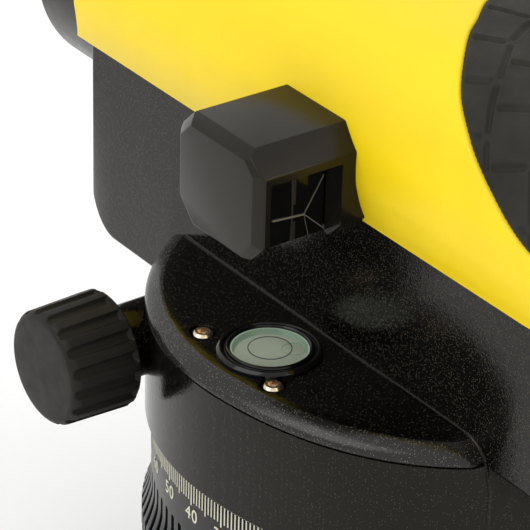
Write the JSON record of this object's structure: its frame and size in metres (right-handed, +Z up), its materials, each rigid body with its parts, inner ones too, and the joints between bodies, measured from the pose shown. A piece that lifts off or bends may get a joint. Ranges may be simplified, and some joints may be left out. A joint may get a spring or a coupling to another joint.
{
  "type": "automatic level",
  "caption": "Self-levelling surveyor's telescope on a levelling base, with a graduated horizontal circle, circular level with viewing prism, side drive and focusing knob.",
  "frame": {"origin": "on the vertical axis, at the underside of the base plate", "axes": "+Z up along the vertical axis; +Y along the line of sight, from the eyepiece to the objective; +X to the observer's right"},
  "size_m": [0.13, 0.1876, 0.1483],
  "materials": {
    "yellow_paint": "smooth semi-gloss yellow shell",
    "casting": "die casting with dark grey speckled paint",
    "black_plastic": "black moulded plastic",
    "rubber": "matt black rubber",
    "steel": "turned steel",
    "brass": "turned brass",
    "black_aluminium": "black anodised",
    "optical_glass": "polished",
    "vial_green": "pale green liquid in a glass vial"
  },
  "bodies": {
    "base": {"base_plate": "casting", "spring_plate": "steel", "tribrach": "casting", "axis_spindle": "steel", "spindle_nut": "brass"},
    "foot_screw_1": {"foot_spindle_1": "steel", "foot_knob_1": "rubber"},
    "foot_screw_2": {"foot_spindle_2": "steel", "foot_knob_2": "rubber"},
    "foot_screw_3": {"foot_spindle_3": "steel", "foot_knob_3": "rubber"},
    "circle": {"horizontal_circle": "black_plastic"},
    "alidade": {"drum": "casting", "axis_bush": "brass", "drive_bush_left": "black_plastic", "drive_bush_right": "black_plastic", "vial_plate": "steel", "vial_screw_1": "steel", "vial_screw_2": "steel", "vial_cup": "black_plastic", "vial_bezel": "black_plastic", "circular_vial": "vial_green", "housing": "casting", "top_cover": "yellow_paint", "rear_grip": "rubber", "peep_sight": "black_plastic", "prism_hood": "black_plastic", "bubble_prism": "optical_glass", "objective_barrel": "black_aluminium", "objective_ring": "black_aluminium", "objective_lens": "optical_glass", "focus_tube": "black_aluminium", "focus_bush": "brass", "eyepiece_tube": "black_aluminium", "reticle_mount": "brass", "reticle": "optical_glass", "compensator_frame": "black_aluminium", "suspension_band_left": "steel", "suspension_band_right": "steel", "damping_magnet": "steel", "rear_prism": "optical_glass", "front_prism": "optical_glass"},
    "wheel": {"worm_wheel": "brass"},
    "drive": {"drive_shaft": "steel", "drive_knob_left": "rubber", "drive_knob_right": "rubber"},
    "focus_drive": {"focus_shaft": "steel", "focus_knob": "rubber"},
    "focus_carriage": {"focus_cell": "brass", "focusing_lens": "optical_glass", "focus_rack": "steel"},
    "eyepiece": {"eyepiece_cell": "brass", "eyepiece_lens": "optical_glass"},
    "dioptre": {"dioptre_ring": "black_plastic", "eyecup": "rubber"},
    "pendulum": {"pendulum_arm": "black_aluminium", "pendulum_prism": "optical_glass", "damping_plate": "brass"}
  },
  "joints": [
    {"name": "foot_screw_1_turn", "type": "hinge", "parent": "base", "child": "foot_screw_1", "pos_m": [0, 0.044, 0.014], "axis": [0, 0, 1], "range_deg": [-1800, 1800]},
    {"name": "foot_screw_2_turn", "type": "hinge", "parent": "base", "child": "foot_screw_2", "pos_m": [-0.03811, -0.022, 0.014], "axis": [0, 0, 1], "range_deg": [-1800, 1800]},
    {"name": "foot_screw_3_turn", "type": "hinge", "parent": "base", "child": "foot_screw_3", "pos_m": [0.03811, -0.022, 0.014], "axis": [0, 0, 1], "range_deg": [-1800, 1800]},
    {"name": "circle_turn", "type": "hinge", "parent": "base", "child": "circle", "pos_m": [0, 0, 0.042], "axis": [0, 0, 1], "continuous": true},
    {"name": "alidade_turn", "type": "hinge", "parent": "base", "child": "alidade", "pos_m": [0, 0, 0.064], "axis": [0, 0, 1], "continuous": true},
    {"name": "wheel_turn", "type": "hinge", "parent": "alidade", "child": "wheel", "pos_m": [0, 0, 0.0722], "axis": [0, 0, 1], "continuous": true},
    {"name": "drive_turn", "type": "hinge", "parent": "alidade", "child": "drive", "pos_m": [0, 0.028, 0.0722], "axis": [1, 0, 0], "continuous": true},
    {"name": "focus_turn", "type": "hinge", "parent": "alidade", "child": "focus_drive", "pos_m": [0, 0.01, 0.09755], "axis": [1, 0, 0], "range_deg": [-163.2, 163.2]},
    {"name": "focus_slide", "type": "slide", "parent": "alidade", "child": "focus_carriage", "axis": [0, 1, 0], "range_m": [-0.00996, 0.00996]},
    {"name": "eyepiece_slide", "type": "slide", "parent": "alidade", "child": "eyepiece", "axis": [0, 1, 0], "range_m": [-0.00125, 0.00125]},
    {"name": "dioptre_turn", "type": "hinge", "parent": "eyepiece", "child": "dioptre", "pos_m": [0, -0.084, 0.1145], "axis": [0, 1, 0], "range_deg": [-150.2, 150.2]},
    {"name": "pendulum_swing", "type": "hinge", "parent": "alidade", "child": "pendulum", "pos_m": [0, -0.028, 0.1327], "axis": [1, 0, 0], "range_deg": [-0.3, 0.3]}
  ],
  "couplings": [
    {"joint": "drive_turn", "follows": "wheel_turn", "ratio": 60},
    {"joint": "focus_turn", "follows": "focus_slide", "rad_per_m": -285.6},
    {"joint": "dioptre_turn", "follows": "eyepiece_slide", "rad_per_m": 2094.4}
  ]
}
